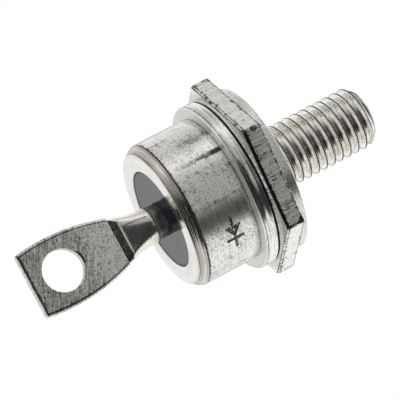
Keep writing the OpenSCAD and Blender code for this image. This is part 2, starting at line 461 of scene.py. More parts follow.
@dataclass(frozen=True, kw_only=True)
class ThreadPlating(Plating):
    """Plate on the screw thread, with yellow residue in its roots."""

    form: "Base"  # the base under it
    residue: Colour = (0.42, 0.39, 0.2)  # residue in the roots
    dot_turn: float = 0.716  # angle of a row of dark dots
    FLECKS = Pattern(3.2, 3.0, 0.7, 0.66, 0.72, 0.7)
    RINGS = Pattern(5.0, 2.0, 0.6, 0.46, 0.56, 0.75)  # turned lines at the end
    PATCH = Pattern(0.9, 4.0, 0.7, 0.5, 0.6)
    BROKEN = Pattern(2.4, 3.0, 0.7, 0.4, 0.55, 0.5)  # breaks in the pale lines

    @property
    def soil_and_painted_light(self) -> Wire:
        """Roots darkened a little all round and more in a band of painted shade on one side, thin dark crests,
        a row of dots, flecks and lines at the end.
        """
        place = self.place
        root, crest, z, r = self.form.root, self.form.stud, place.z, place.r
        shank, tip = -self.form.shank, -self.form.length
        chamfer = tip + self.form.point
        # Painted shade: the roots darken most within this band of angles about the axis.
        middle = place.turn.rise(-0.75, -0.55) * place.turn.rise(0.4, 0.05)
        deep = r.rise(root + 0.16, root + 0.05) * z.rise(tip + 0.02, tip + 0.1) * (0.12 + 0.52 * middle)
        worn = r.rise(crest - 0.06, crest - 0.035) * z.rise(shank + 0.1, shank - 0.1) * 0.9
        across = ((place.turn - self.dot_turn) * crest).size().rise(0.17, 0.07)
        dots = across * r.near(root + 0.32, 0.11, 0.05) * 0.75
        rings = self.RINGS.at(place.way(Grain.TURNED, 0.1))
        end = rings * z.rise(chamfer + 0.1, chamfer - 0.1) * r.rise(1.8, 2.2)
        return deep + worn + self.FLECKS.at(place.spot) + dots + end

    def tint(self, colour: Wire) -> Wire:
        """Adds patches of yellow residue, most of them below.

        Args:
            colour: Colour without residue.

        Returns:
            The colour.
        """
        place = self.place
        deep = place.r.rise(self.form.stud - 0.12, self.form.root + 0.1)
        below = place.turn.rise(-0.4, -0.65)
        share = self.PATCH.at(place.spot) * deep * (0.06 + 0.42 * below) + 0.02
        return place.bench.blend(share, colour, self.residue)

    @property
    def cover_and_painted_highlight(self) -> Wire:
        """Pale lines along the flanks, which are painted highlights."""
        place = self.place
        broken = self.BROKEN.at(place.bench.join(place.turn, place.r, place.z))
        # Painted highlights: pale lines near the crests and near the roots.
        upper = place.r.near(self.form.stud - 0.16, 0.05, 0.025)
        lower = place.r.near(self.form.root + 0.16, 0.045, 0.02)
        return (upper + lower) * broken


@dataclass(frozen=True, kw_only=True)
class CapPlating(Plating):
    """Plate on the drawn cap, with a printed diode sign."""

    form: "Case"  # the case under it
    sign_turn: float = -37.0  # angle of the middle of the sign, in degrees
    sign_height: float = 7.1  # height of the middle of the sign
    sign_scale: float = 1.35  # size of the sign
    smear_turn: float = 24.5  # angle of a dark smear, in degrees
    STREAKS = Pattern(1.1, 5.0, 0.75, 0.5, 0.7, 0.4)
    MOTTLE = Pattern(1.6, 6.0, 0.8, 0.5, 0.68, 0.3)
    FLECKS = Pattern(3.1, 4.0, 0.75, 0.65, 0.72, 0.7)
    FRAY = Pattern(2.0, 4.0, 0.7)  # ragged sides of streaks
    WORN_INK = Pattern(5.0, 3.0, 0.6)  # wear of the ink

    @property
    def wall(self) -> Wire:
        """1 on the cap's wall and 0 on its flange."""
        return self.place.r.rise(self.form.wall + 0.03, self.form.wall + 0.01)

    @property
    def from_smear(self) -> Wire:
        """The distance from the smear's middle along the wall."""
        return ((self.place.turn - math.radians(self.smear_turn)) * self.form.wall).size()

    @property
    def soil_and_painted_light(self) -> Wire:
        """Streaks and scuffs of handling, a painted dark reflection streak, painted highlight bands, darkening
        below the seam with the ring and painted shade in the crease above the flange.
        """
        place = self.place
        z, turn, seam, flange = place.z, place.turn, self.form.seam, self.form.flange
        way = place.bench.join(turn * self.form.wall, place.r, z * 0.16)
        ragged = self.FRAY.raw(way) - 0.5
        trail = (self.from_smear + ragged * 0.9).rise(0.42, 0.1) * z.rise(9.4, 6.0) * 0.75
        # Painted reflection: a dark streak at a fixed angle, fading out towards the ring.
        upper = (turn + ragged * 0.12).near(0.75, 0.07, 0.02) * z.rise(9.4, 7.0) * 0.4
        # Painted highlight: two bands at fixed angles made lighter.
        painted_highlight_bands = turn.near(0.54, 0.13, 0.06) * 0.16 + turn.near(0.345, 0.07, 0.03) * 0.2
        # Darker below the seam with the ring; painted shade in the crease above the flange.
        seams = z.rise(seam - 0.14, seam - 0.08) * 0.6 + z.rise(flange + 0.13, flange + 0.09) * 0.85
        spots = self.MOTTLE.at(place.spot) + self.FLECKS.at(place.spot)
        return self.STREAKS.at(way) + spots + (trail + upper - painted_highlight_bands) * self.wall + seams

    @property
    def cover_and_painted_highlight(self) -> Wire:
        """The ink of a plain diode sign, a line, a triangle and a bar, and of a smear."""
        place = self.place
        u = (place.turn - math.radians(self.sign_turn)) * (self.form.wall / self.sign_scale)
        w = ((place.z - self.sign_height) / self.sign_scale).size()
        line = w.rise(0.13, 0.1) * u.size().rise(1.3, 1.27)
        bar = w.rise(0.72, 0.69) * u.near(-0.5, 0.13, 0.1)
        triangle = ((u + 0.42) * 0.7 - w).rise(0.0, 0.03) * u.rise(0.56, 0.53)
        ragged = self.WORN_INK.raw(place.spot)
        off = self.from_smear + (ragged - 0.5) * 0.35
        blot = off.rise(0.27, 0.16) * (place.z + ragged).rise(6.5, 6.1) * self.wall
        return line.most(bar).most(triangle) * ragged.rise(0.3, 0.42) + blot * 0.95


@dataclass(frozen=True, kw_only=True)
class FlangePlating(Plating):
    """Plate on the cap's flange, matt on its front."""

    form: "Case"  # the case under it
    RAGGED = Pattern(1.5, 4.0, 0.7, 0.36, 0.5, 0.5)  # unevenness of the dirt

    @property
    def soil_and_painted_light(self) -> Wire:
        """Dirt along the joint under the flange."""
        place = self.place
        return place.z.rise(WELD + 0.13, WELD + 0.06) * (0.35 + self.RAGGED.at(place.spot))

    @property
    def cover_and_painted_highlight(self) -> Wire:
        """The matt front face."""
        return self.place.z.rise(self.form.flange - 0.03, self.form.flange - 0.01) * 0.6


@dataclass(frozen=True, kw_only=True)
class RingPlating(Plating):
    """Plate on the turned ring, with dirt in its two grooves."""

    seam: float = 10.25  # height of the groove at the cap
    brow: float = 11.0  # height of the groove behind the front face
    face: float = 6.7  # radius inside which the front face is clean
    painted_highlight_heights: tuple[float, float] = (10.53, 10.78)  # heights of two painted highlight lines
    warm: Colour = (0.5, 0.44, 0.38)  # tint beside the face
    SMUDGE = Pattern(1.3, 5.0, 0.75, 0.6, 0.72, 0.4)
    FLECKS = Pattern(3.4, 4.0, 0.75, 0.66, 0.73, 0.6)
    TURNED = Pattern(4.6, 2.0, 0.6, 0.46, 0.54, 0.42)  # fine turned lines
    BROKEN = Pattern(1.6, 4.0, 0.7, 0.36, 0.5, 0.4)  # breaks in the burnished lines

    @property
    def side(self) -> Wire:
        """0 on the front face and 1 beside it."""
        return self.place.r.rise(self.face, self.face + 0.08)

    @property
    def soil_and_painted_light(self) -> Wire:
        """Dirt in the grooves, fine lines beside the face and a few smudges."""
        place = self.place
        spots = self.SMUDGE.at(place.spot) + self.FLECKS.at(place.spot)
        low = place.z.rise(self.seam + 0.08, self.seam + 0.02) * 0.85
        high = place.z.near(self.brow, 0.055, 0.03) * 0.85
        lines = 0.1 + self.TURNED.at(place.way(Grain.TURNED, 0.15))
        return spots + low + (high + lines) * self.side

    def tint(self, colour: Wire) -> Wire:
        """Returns the colour, warmer beside the face."""
        return self.place.bench.blend(self.side * 0.3, colour, self.warm)

    @property
    def cover_and_painted_highlight(self) -> Wire:
        """The matt edge at the glass and two fine pale lines, which are painted highlights."""
        place = self.place
        inner = place.r.rise(EYE + 0.1, EYE + 0.05) * place.z.rise(10.9, 10.95) * 0.9
        # Painted highlights: two fine pale lines beside the front face.
        first, second = self.painted_highlight_heights
        lines = place.z.near(first, 0.03, 0.015) + place.z.near(second, 0.025, 0.012)
        return inner + lines * self.BROKEN.at(place.spot) * self.side


@dataclass(frozen=True, kw_only=True)
class LugPlating(Plating):
    """Plate on the pressed terminal: satin, speckled and ground across."""

    form: "Terminal"  # the terminal under it
    FRAY = Pattern(2.6, 4.0, 0.7)  # ragged sides of marks
    SPECKLE = Pattern(7.0, 2.0, 0.7, 0.5, 0.64)
    GROUND = Pattern(6.0, 3.0, 0.75, 0.45, 0.58, 0.4)
    FLECKS = Pattern(3.0, 4.0, 0.75, 0.64, 0.72, 0.6)

    def edges(self, ragged: Wire) -> Wire:
        """Returns dark lines along the flat's sides, at its end and beside its hole.

        Args:
            ragged: Noise about 0.

        Returns:
            The share of dark lines on the front face.
        """
        place = self.place
        form, x, z = self.form, place.x, place.z
        rise = z - form.arc_height
        reach = (form.arc ** 2 - rise * rise).math("SQRT") - (form.arc - form.wide / 2.0)
        inset = reach - x.size()
        flat = z.rise(form.step - 0.02, form.step + 0.04)
        side = inset.rise(0.23, 0.27) * (inset + ragged * 0.1).rise(0.4, 0.33) * flat * 0.7
        tail = form.end - z
        rim = tail.rise(0.05, 0.1) * (tail + ragged * 0.5).rise(0.34, 0.22) * 0.8
        drop = z - form.hole_height
        gap = (x * x + drop * drop).math("SQRT") - form.hole
        lean = (x.math("ARCTAN2", drop * -1.0) - 0.2) / 0.42
        shade = gap.rise(0.0, 0.03) * (gap - 0.28 * (1.0 - lean * lean)).rise(0.03, -0.03) * 0.85
        return (side + rim + shade) * place.y.rise(-0.4, -0.48)

    @property
    def soil_and_painted_light(self) -> Wire:
        """A darker end, speckles, a black step, a crease and dark edges."""
        place = self.place
        step, z = self.form.step, place.z
        ragged = self.FRAY.raw(place.spot) - 0.5
        far = (z + ragged * 2.0).rise(18.8, 20.4)
        flat = z.rise(step - 0.02, step + 0.04)
        speckle = self.SPECKLE.at(place.spot) * (0.6 - 0.35 * far) * flat
        ground = self.GROUND.at(place.way(Grain.GROUND, 0.08)) * (z + ragged * 3.0).rise(17.9, 19.4)
        foot = z.rise(step - 0.025, step - 0.05) * z.rise(step - 0.63, step - 0.58)
        foot = foot * (place.x - (z - step) * 0.8 + ragged * 0.3).rise(2.35, 2.2)
        lean = (place.turn - (z - 14.0) * 0.1 + ragged * 0.1).near(0.62, 0.07, 0.03)
        crease = lean * z.rise(15.2, 14.9) * z.rise(12.5, 12.8) * 0.6
        spots = speckle + ground + self.FLECKS.at(place.spot)
        return far * 0.22 + spots + foot + crease + self.edges(ragged)

    @property
    def cover_and_painted_highlight(self) -> Wire:
        """A pale lip above the step, which is a painted highlight, and the matt edge of the open end."""
        place = self.place
        # Painted highlight: the lip is made pale and matt.
        lip = place.z.near(self.form.step - 0.73, 0.1, 0.07) * place.x.size().rise(1.75, 1.5)
        return lip * 0.9 + place.z.rise(BARREL_LOW + 0.14, BARREL_LOW + 0.08) * 0.55


@dataclass(frozen=True)
class SealGlass(Finish):
    """Grey fused glass with a smooth skin."""

    body: Colour = (0.012, 0.012, 0.022)  # colour of the glass
    dusty: Colour = (0.1, 0.1, 0.1)  # colour of dust
    rough: float = 0.1  # roughness of the skin
    gloss: float = 0.24  # specular level
    CLOUD = Pattern(0.9, 3.0, 0.55)  # unevenness of the glass
    SPECKS = Pattern(7.0, 2.0, 0.6)

    @property
    def inputs(self) -> dict[str, Any]:
        """Clouds the glass, dusts it and roughens it towards the ring."""
        place = self.place
        bench = place.bench
        cloud, specks = self.CLOUD.raw(place.spot), self.SPECKS.raw(place.spot)
        dust = specks.rise(0.68, 0.76) * 0.5
        deep, pale = (tuple(part * share for part in self.body) for share in (0.85, 1.15))
        edge = place.r.rise(EYE - 0.28, EYE - 0.08) * 0.35
        return {
            "Base Color": bench.blend(dust, bench.blend(cloud, deep, pale), self.dusty),
            "Roughness": self.rough + dust * 0.3 + (cloud - 0.5) * 0.08 + edge,
            "Specular IOR Level": self.gloss, "Normal": bench.bump(cloud * 0.9 + specks * 0.1, 0.012)}


@dataclass(frozen=True)
class Oxide(Finish):
    """Tube blackened by the heat of sealing."""

    dark: Colour = (0.09, 0.088, 0.09)  # thick oxide
    warm: Colour = (0.26, 0.25, 0.245)  # thin oxide
    metallic: float = 0.5
    rough: float = 0.26
    RINGS = Pattern(4.0, 3.0, 0.6)  # drawing rings
    SKIN = Pattern(1.4, 4.0, 0.65)  # patches of oxide

    @property
    def inputs(self) -> dict[str, Any]:
        """Mixes thick and thin oxide in patches and rings."""
        place = self.place
        rings, skin = self.RINGS.raw(place.way(Grain.TURNED, 0.3)), self.SKIN.raw(place.spot)
        share = (skin * 0.7 + rings * 0.3).rise(0.4, 0.66)
        return {
            "Base Color": place.bench.blend(share, self.dark, self.warm), "Metallic": self.metallic,
            "Roughness": self.rough + (skin - 0.5) * 0.2, "Normal": place.bench.bump(rings + skin, 0.004)}


@dataclass(frozen=True)
class Inner(Finish):
    """Plain finish of a piece inside the sealed cap."""

    first: Colour  # one end of its colour range
    second: Colour  # other end of its colour range
    metallic: float  # 1 for metal, 0 for other stuff
    rough: float  # roughness
    grain: float  # grains per millimetre

    @property
    def inputs(self) -> dict[str, Any]:
        """Clouds the colour and roughness a little."""
        place = self.place
        cloud = Pattern(self.grain, 4.0, 0.6).raw(place.spot)
        fine = Pattern(self.grain * 6.0, 2.0, 0.6).raw(place.spot)
        return {
            "Base Color": place.bench.blend(cloud.rise(0.35, 0.65), self.first, self.second),
            "Metallic": self.metallic, "Roughness": self.rough + (fine - 0.5) * 0.2,
            "Normal": place.bench.bump(cloud * 0.5 + fine * 0.5, 0.004)}


# Shaping


@dataclass(frozen=True)
class Corner:
    """A corner of a turned outline."""

    r: float  # distance from the axis
    z: float  # height
    soft: float = 0.0  # length that rounding takes off each side


def turned_lines(first: Corner, last: Corner, count: int, depth: float, wide: float = 0.5) -> list[Corner]:
    """Returns a stretch of outline with fine grooves.

    Args:
        first: Start of the stretch.
        last: End of the stretch, further along the outline.
        count: Number of grooves.
        depth: Depth of a groove, towards the left of the way.
        wide: Share of the stretch that the grooves take.

    Returns:
        The corners between the two ends.
    """
    way = Vector((last.r - first.r, last.z - first.z))
    inward = Vector((-way.y, way.x)).normalized() * depth
    corners = []
    for groove in range(count):
        for step, sunk in ((0.5 - wide / 2.0, 0.0), (0.5, 1.0), (0.5 + wide / 2.0, 0.0)):
            spot = way * ((groove + step) / count) + inward * sunk
            corners.append(Corner(first.r + spot.x, first.z + spot.y))
    return corners


def bevel(shell: Shell, geom: Sequence[Any], offset: float, segments: int, what: Bevel = Bevel.EDGES,
          clamp: bool = False) -> None:
    """Rounds points or edges by a length off each side; clamped, neighbours give way."""
    ops.bevel(shell, geom=geom, offset=offset, offset_type="OFFSET", segments=segments, profile=0.5,
              affect=what.value, clamp_overlap=clamp, material=-1)


def soften(shell: Shell, point: Point, offset: float, segments: int) -> None:
    """Rounds one corner of an outline."""
    bevel(shell, [point, *point.link_edges], offset, segments, Bevel.POINTS)


def everything(shell: Shell) -> list[Any]:
    """Returns all points, edges and faces."""
    return shell.verts[:] + shell.edges[:] + shell.faces[:]


def only(items: Iterable[Any], kind: type) -> list[Any]:
    """Returns the items of one kind."""
    return [item for item in items if isinstance(item, kind)]


def mesh_of(name: str, shell: Shell) -> bpy.types.Mesh:
    """Returns a new mesh with this shell, which is used up.

    Args:
        name: Name of the mesh.
        shell: The shell.

    Returns:
        The mesh.
    """
    mesh = bpy.data.meshes.new(name)
    shell.to_mesh(mesh)
    shell.free()
    return mesh


def put(name: str, data: Any) -> Object:
    """Returns a new object in the scene.

    Args:
        name: Name of the object.
        data: Its mesh, lamp or camera.

    Returns:
        The object, at the origin.
    """
    made = bpy.data.objects.new(name, data)
    bpy.context.scene.collection.objects.link(made)
    return made


class Workpiece:
    """A piece under construction, in millimetres, made of closed shells."""

    def __init__(self) -> None:
        """Starts an empty piece."""
        self.mesh = bmesh.new()

    def take(self, shell: Shell, finish: int, plane: float = math.inf, split: float = -math.inf) -> None:
        """Adds a closed shell.

        Args:
            shell: The shell; it is used up.
            finish: Index of its material.
            plane: Area from which a face is shaded as a plane.
            split: Height below which the next material is used.
        """
        ops.remove_doubles(shell, verts=shell.verts[:], dist=MERGE)
        ops.dissolve_degenerate(shell, edges=shell.edges[:], dist=MERGE / 2.0)
        ops.recalc_face_normals(shell, faces=shell.faces[:])
        for face in shell.faces:
            face.material_index = finish + (face.calc_center_median().z < split)
            face.smooth = face.calc_area() < plane and abs(face.normal.y) < 0.9999
        carrier = mesh_of("carrier", shell)
        self.mesh.from_mesh(carrier)
        bpy.data.meshes.remove(carrier)

    def lathe(self, outline: Sequence[Corner], steps: int = 192, finish: int = 0,
              split: float = -math.inf) -> None:
        """Turns an outline about the axis.

        Args:
            outline: Corners in order; the outline closes itself unless it starts on the axis.
            steps: Steps round the axis.
            finish: Index of its material.
            split: Height below which the next material is used.
        """
        shell = bmesh.new()
        points = [shell.verts.new((corner.r, 0.0, corner.z)) for corner in outline]
        for pair in zip(points, points[1:]):
            shell.edges.new(pair)
        if outline[0].r > 0.0:
            shell.edges.new((points[-1], points[0]))
        for point, corner in zip(points, outline):
            if corner.soft > 0.0:
                soften(shell, point, corner.soft, 5)
        ops.spin(shell, geom=everything(shell), cent=ORIGIN, axis=AXIS, dvec=ORIGIN, angle=math.tau,
                 steps=steps, use_merge=True, use_duplicate=False)
        self.take(shell, finish, split=split)

    def stand_for(self, node: str, name: str, slot: Slot, *finishes: Finish) -> Object:
        """Puts the finished piece into the scene in place of a construction node.

        Args:
            node: Name of the node.
            name: Name of the piece.
            slot: Finish slot of the record; not used.
            finishes: Its finishes, in the order of their indices.

        Returns:
            The object, at the origin.
        """
        ops.scale(self.mesh, vec=(METRE, METRE, METRE), verts=self.mesh.verts[:])
        mesh = mesh_of(name, self.mesh)
        for finish in finishes:
            mesh.materials.append(finish.material())
        piece = put(name, mesh)
        piece.modifiers.new("even_shading", "WEIGHTED_NORMAL").keep_sharp = True
        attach(piece, "root")
        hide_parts(node)
        return piece


# Sub-assemblies


@dataclass
class Base:
    """Hexagon base with its collar, shoulder and screw stud, from one piece."""

    flats: float = 17.4  # width of the hexagon across its flats
    hex_low: float = 1.0  # height of its back face
    hex_high: float = 2.9  # height of its front face
    hex_turn: float = -11.5  # angle of its worn flat, in degrees
    corner: float = 0.13  # rounding of its corners
    rim: float = 0.3  # height of the bevel at its front rim
    lean: float = 0.11  # how far that bevel leans in
    front_edge: float = 0.04  # rounding of its front edge
    back_edge: float = 0.1  # rounding of its back edge
    collar: float = 8.43  # radius of the collar
    shoulder: float = 8.53  # radius of the shoulder
    shoulder_top: float = 3.15  # height of the shoulder
    stud: float = 3.1  # radius over the thread's crests
    root: float = 2.56  # radius of the thread's roots
    root_soft: float = 0.06  # rounding of the roots
    flank: float = 30.0  # slope of the thread's flanks, in degrees
    length: float = 11.8  # length of the stud
    pitch: float = 0.907  # pitch of the thread
    phase: float = -7.2  # height of a crest on the side of the terminal's width
    shank: float = 1.2  # plain length below the seat
    undersize: float = 0.03  # how far the shank lies inside the crests
    overlap: float = 0.4  # how far the stud reaches into the collar
    point: float = 0.8  # length of the chamfer at the stud's end
    taper: float = 0.95  # slope of that chamfer

    def hexagon(self, work: Workpiece) -> None:
        """Adds the hexagon with rounded corners and rims.

        Args:
            work: The piece.
        """
        shell = bmesh.new()
        reach = self.flats / math.sqrt(3.0)
        tall = self.hex_high - self.hex_low - self.rim
        turn = Matrix.Rotation(math.radians(self.hex_turn - 30.0), 4, "Z")
        lift = Matrix.Translation((0.0, 0.0, self.hex_low + tall / 2.0))
        ops.create_cone(shell, cap_ends=True, cap_tris=False, segments=6, radius1=reach, radius2=reach,
                        depth=tall, matrix=lift @ turn)
        upright = [e for e in shell.edges if abs(e.verts[0].co.z - e.verts[1].co.z) > tall / 2.0]
        bevel(shell, upright, self.corner, 4)
        top = max(shell.faces, key=lambda face: face.calc_center_median().z)
        raised = only(ops.extrude_face_region(shell, geom=[top])["geom"], Point)
        if top.is_valid:
            ops.delete(shell, geom=[top], context="FACES_ONLY")
        share = 1.0 - 2.0 * self.lean / self.flats
        ops.translate(shell, verts=raised, vec=(0.0, 0.0, self.rim))
        ops.scale(shell, verts=raised, vec=(share, share, 1.0))
        for height, edge in ((self.hex_high, self.front_edge), (self.hex_low, self.back_edge)):
            rims = [e for e in shell.edges if all(abs(vert.co.z - height) < TOUCH for vert in e.verts)]
            bevel(shell, rims, edge, 4)
        work.take(shell, 0, plane=2.0)

    def turned(self, work: Workpiece) -> None:
        """Adds the collar, the shoulder and the pedestal inside the weld ring.

        Args:
            work: The piece.
        """
        middle = (self.hex_low + self.hex_high) / 2.0
        work.lathe([
            Corner(0.0, 0.0), Corner(self.collar, 0.0, 0.09), Corner(self.collar, middle),
            Corner(self.shoulder, middle), Corner(self.shoulder, self.shoulder_top, 0.05),
            Corner(GROOVE, self.shoulder_top), Corner(GROOVE, RING_LOW), Corner(PEDESTAL, RING_LOW),
            Corner(PEDESTAL, WELD), Corner(0.0, WELD)], finish=1)

    def one_turn(self, shell: Shell, steps: int = 72) -> None:
        """Adds one turn of the thread, below the stud's end.

        Args:
            shell: An empty shell.
            steps: Steps in the turn.
        """
        flat = self.pitch / 8.0
        flank = (self.stud - self.root) * math.tan(math.radians(self.flank))
        heights = (0.0, flat, flat + flank, self.pitch - flank, self.pitch)
        radii = (self.stud, self.stud, self.root, self.root, self.stud)
        below = math.ceil((self.length + self.phase + 2.0) / self.pitch)
        first = self.phase - flat / 2.0 - below * self.pitch
        points = [shell.verts.new((r, 0.0, first + z)) for r, z in zip(radii, heights)]
        for pair in zip(points, points[1:]):
            shell.edges.new(pair)
        for point in points[2:4]:
            soften(shell, point, self.root_soft, 2)
        ops.subdivide_edges(shell, edges=[e for e in shell.edges if e.calc_length() > 0.2], cuts=3)
        ops.spin(shell, geom=everything(shell), cent=ORIGIN, axis=AXIS,
                 dvec=(0.0, 0.0, self.pitch / steps), angle=math.tau, steps=steps, use_merge=False,
                 use_duplicate=False)

    def thread(self, work: Workpiece) -> None:
        """Adds the screw stud: one turn of the thread, repeated, cut to length and trimmed.

        Args:
            work: The piece.
        """
        shell = bmesh.new()
        self.one_turn(shell)
        turn = everything(shell)
        for count in range(1, math.ceil((self.length + 3.0) / self.pitch) + 2):
            moved = only(ops.duplicate(shell, geom=turn)["geom"], Point)
            ops.translate(shell, verts=moved, vec=(0.0, 0.0, self.pitch * count))
        ops.remove_doubles(shell, verts=shell.verts[:], dist=0.002)
        cuts = ((self.overlap, 1.0, True), (-self.length, -1.0, True),
                (self.point - self.length, 1.0, False), (-self.shank, 1.0, False))
        for height, way, clear in cuts:
            ops.bisect_plane(shell, geom=everything(shell), dist=0.0001, plane_co=(0.0, 0.0, height),
                             plane_no=(0.0, 0.0, way), clear_outer=clear)
        for vert in shell.verts:
            self.trim(vert)
        ops.holes_fill(shell, edges=[e for e in shell.edges if e.is_boundary], sides=0)
        work.take(shell, 2)

    def trim(self, vert: Point) -> None:
        """Moves a thread point out to the plain shank or in to the end's chamfer.

        Args:
            vert: The point.
        """
        now = math.hypot(vert.co.x, vert.co.y)
        plain = self.stud - self.undersize if vert.co.z > -self.shank - TOUCH else now
        end = self.stud - max(0.0, -vert.co.z - self.length + self.point) * self.taper
        share = min(plain, end) / now
        vert.co.x *= share
        vert.co.y *= share

    def build(self) -> list[Object]:
        """Builds and dresses the base.

        Returns:
            Its one piece.
        """
        work = Workpiece()
        self.hexagon(work)
        self.turned(work)
        self.thread(work)
        return [work.stand_for(
            "base_stud", "base_body", Slot.BASE,
            HexPlating("hexagon_plate", form=self, light=(0.94, 0.92, 0.87), dark=(0.05, 0.048, 0.044),
                       grain=Grain.AXIAL, lines=0.006, pitch=6.0, stain=0.12, ink=(0.86, 0.84, 0.8)),
            BrazePlating("collar_plate", pitch=6.0, rough=0.26, streak=0.45, speck=0.65,
                         ink=(0.85, 0.83, 0.77)),
            ThreadPlating("thread_plate", form=self, light=(0.91, 0.895, 0.85), dark=(0.045, 0.043, 0.038),
                          lines=0.001, rough=0.13, stain=0.06, streak=0.1, speck=0.25,
                          ink=(0.7, 0.685, 0.64)))]


@dataclass
class Case:
    """Weld ring, drawn cap and turned ring that close the case."""

    flange: float = 4.6  # height of the flange's front face
    seam: float = 10.2  # height of the seam between cap and turned ring
    front: float = 11.15  # height of the front face
    foot: float = 9.25  # height of the turned ring's lower end
    ring: float = 8.53  # radius of the weld ring
    lip: float = 8.57  # radius of the flange
    wall: float = 7.43  # radius of the cap's wall
    bore: float = 6.63  # radius inside the cap
    rest: float = 7.2  # radius of the flat part of the seam
    notch: float = 6.95  # radius of the groove behind the front face
    brow: float = 6.89  # radius of the front face's edge

    def weld_ring(self) -> Object:
        """Builds the ring under the flange.

        Returns:
            The piece.
        """
        work = Workpiece()
        toe = Corner(self.ring + 0.045, RING_LOW + 0.06, 0.02)
        waist = Corner(self.ring - 0.01, RING_LOW + 0.42, 0.05)
        work.lathe([
            Corner(PEDESTAL, RING_LOW), Corner(GROOVE, RING_LOW), Corner(GROOVE, toe.z), toe,
            *turned_lines(Corner(toe.r, toe.z + 0.05), waist, 2, 0.008), waist,
            Corner(self.ring, RING_LOW + 0.72, 0.08), Corner(self.ring - 0.06, WELD - 0.02, 0.02),
            Corner(self.ring - 0.13, WELD), Corner(PEDESTAL, WELD)])
        return work.stand_for("weld_ring", "weld_band", Slot.STEEL, BrazePlating(
            "ring_plate", light=(0.92, 0.905, 0.865), lines=0.002, pitch=7.0, rough=0.14, streak=0.4))

    def cap(self) -> Object:
        """Builds the drawn cap with its thin flange.

        Returns:
            The piece.
        """
        work = Workpiece()
        work.lathe([
            Corner(self.bore, WELD), Corner(self.lip, WELD, 0.02), Corner(self.lip - 0.04, WELD + 0.12, 0.03),
            Corner(self.lip - 0.14, self.flange, 0.04), Corner(self.wall, self.flange, 0.03),
            Corner(self.wall, self.seam - 0.05, 0.09), Corner(self.rest, self.seam, 0.02),
            Corner(self.bore, self.seam)], split=self.flange + 0.05)
        return work.stand_for(
            "cap_shell", "cap_body", Slot.STEEL,
            CapPlating("cap_plate", form=self, light=(0.86, 0.845, 0.8), lines=0.0025, pitch=3.0, rough=0.25,
                       stain=0.26, streak=0.22, speck=0.75),
            FlangePlating("flange_plate", form=self, lines=0.002, pitch=6.0, rough=0.2, stain=0.2, streak=0.4,
                          ink=(0.78, 0.77, 0.73)))

    def closing_ring(self) -> Object:
        """Builds the turned ring with its band, cone, groove, bead and front face.

        Returns:
            The piece.
        """
        work = Workpiece()
        band, shoulder = Corner(self.wall - 0.04, self.seam + 0.07, 0.02), Corner(7.26, self.seam + 0.34)
        notch = Corner(self.notch, self.front - 0.21)
        work.lathe([
            Corner(EYE, self.foot), Corner(self.bore, self.foot), Corner(self.bore, self.seam + 0.02),
            Corner(self.rest, self.seam + 0.02), band, *turned_lines(band, shoulder, 1, 0.015), shoulder,
            *turned_lines(shoulder, notch, 2, 0.008, 0.3), notch, Corner(self.brow - 0.07, self.front - 0.14),
            Corner(self.brow, self.front - 0.09, 0.02), Corner(self.brow - 0.04, self.front, 0.05),
            Corner(EYE, self.front, 0.06)])
        return work.stand_for("seal_ring", "closing_ring", Slot.STEEL, RingPlating(
            "turned_plate", lines=0.002, rough=0.13, stain=0.12, streak=0.2, speck=0.2, ink=(0.9, 0.9, 0.88)))

    def build(self) -> list[Object]:
        """Builds and dresses the three pieces."""
        return [self.weld_ring(), self.cap(), self.closing_ring()]


@dataclass
class Seal:
    """Glass disc and the tube through it."""

    tube: float = 1.69  # radius of the tube
    bore: float = 0.75  # radius inside the tube
    tube_low: float = 9.46  # height of the tube's lower end
    spigot_top: float = 13.56  # height of the spigot inside the terminal
    under: float = 9.61  # height of the glass's lower face
    level: float = 11.05  # height of the glass's front
    creep: float = 0.008  # how far the glass climbs up the metal
    climb: float = 0.35  # width of that climb

    def glass(self) -> Object:
        """Builds the disc, which climbs a little at both edges.

        Returns:
            The piece.
        """
        work = Workpiece()
        top = self.level + self.creep
        work.lathe([
            Corner(self.tube, self.under), Corner(EYE, self.under), Corner(EYE, top),
            Corner(EYE - self.climb, self.level, 0.25), Corner(self.tube + self.climb, self.level, 0.25),
            Corner(self.tube, top)])
        return work.stand_for("glass_seal", "glass_disc", Slot.GLASS, SealGlass("fused_glass"))

    def lead(self) -> Object:
        """Builds the tube with the spigot that the terminal sits on.

        Returns:
            The piece.
        """
        work = Workpiece()
        work.lathe([
            Corner(self.bore, self.tube_low), Corner(self.tube, self.tube_low),
            Corner(self.tube, BARREL_LOW, 0.04), Corner(SPIGOT, BARREL_LOW), Corner(SPIGOT, self.spigot_top),
            Corner(self.bore, self.spigot_top)], steps=96)
        return work.stand_for("lead_tube", "sealed_tube", Slot.TUBE, Oxide("tube_oxide"))

    def build(self) -> list[Object]:
        """Builds and dresses both pieces."""
        return [self.glass(), self.lead()]


@dataclass(frozen=True)
class Section:
    """Section of a squeezed tube."""

    height: float  # where it lies
    half: float  # half of its width
    deep: float  # half of its depth
    power: float  # 1 for an ellipse, less for a squarer form

    def toward(self, other: "Section", share: float, bend: float = 1.0) -> "Section":
        """Returns a section between two.

        Args:
            other: The section at a share of 1.
            share: How far it is on the way there.
            bend: Power of the share that the width follows.

        Returns:
            The section between.
        """
        parts = (share, share ** bend, share, share)
        rows = zip(astuple(self), astuple(other), parts)
        return Section(*(first + (last - first) * part for first, last, part in rows))

    def point(self, angle: float) -> Vector:
        """Returns the point of the section at an angle about the axis."""
        across, through = math.cos(angle), math.sin(angle)
        return Vector((math.copysign(self.half * abs(across) ** self.power, across),
                       math.copysign(self.deep * abs(through) ** self.power, through), self.height))


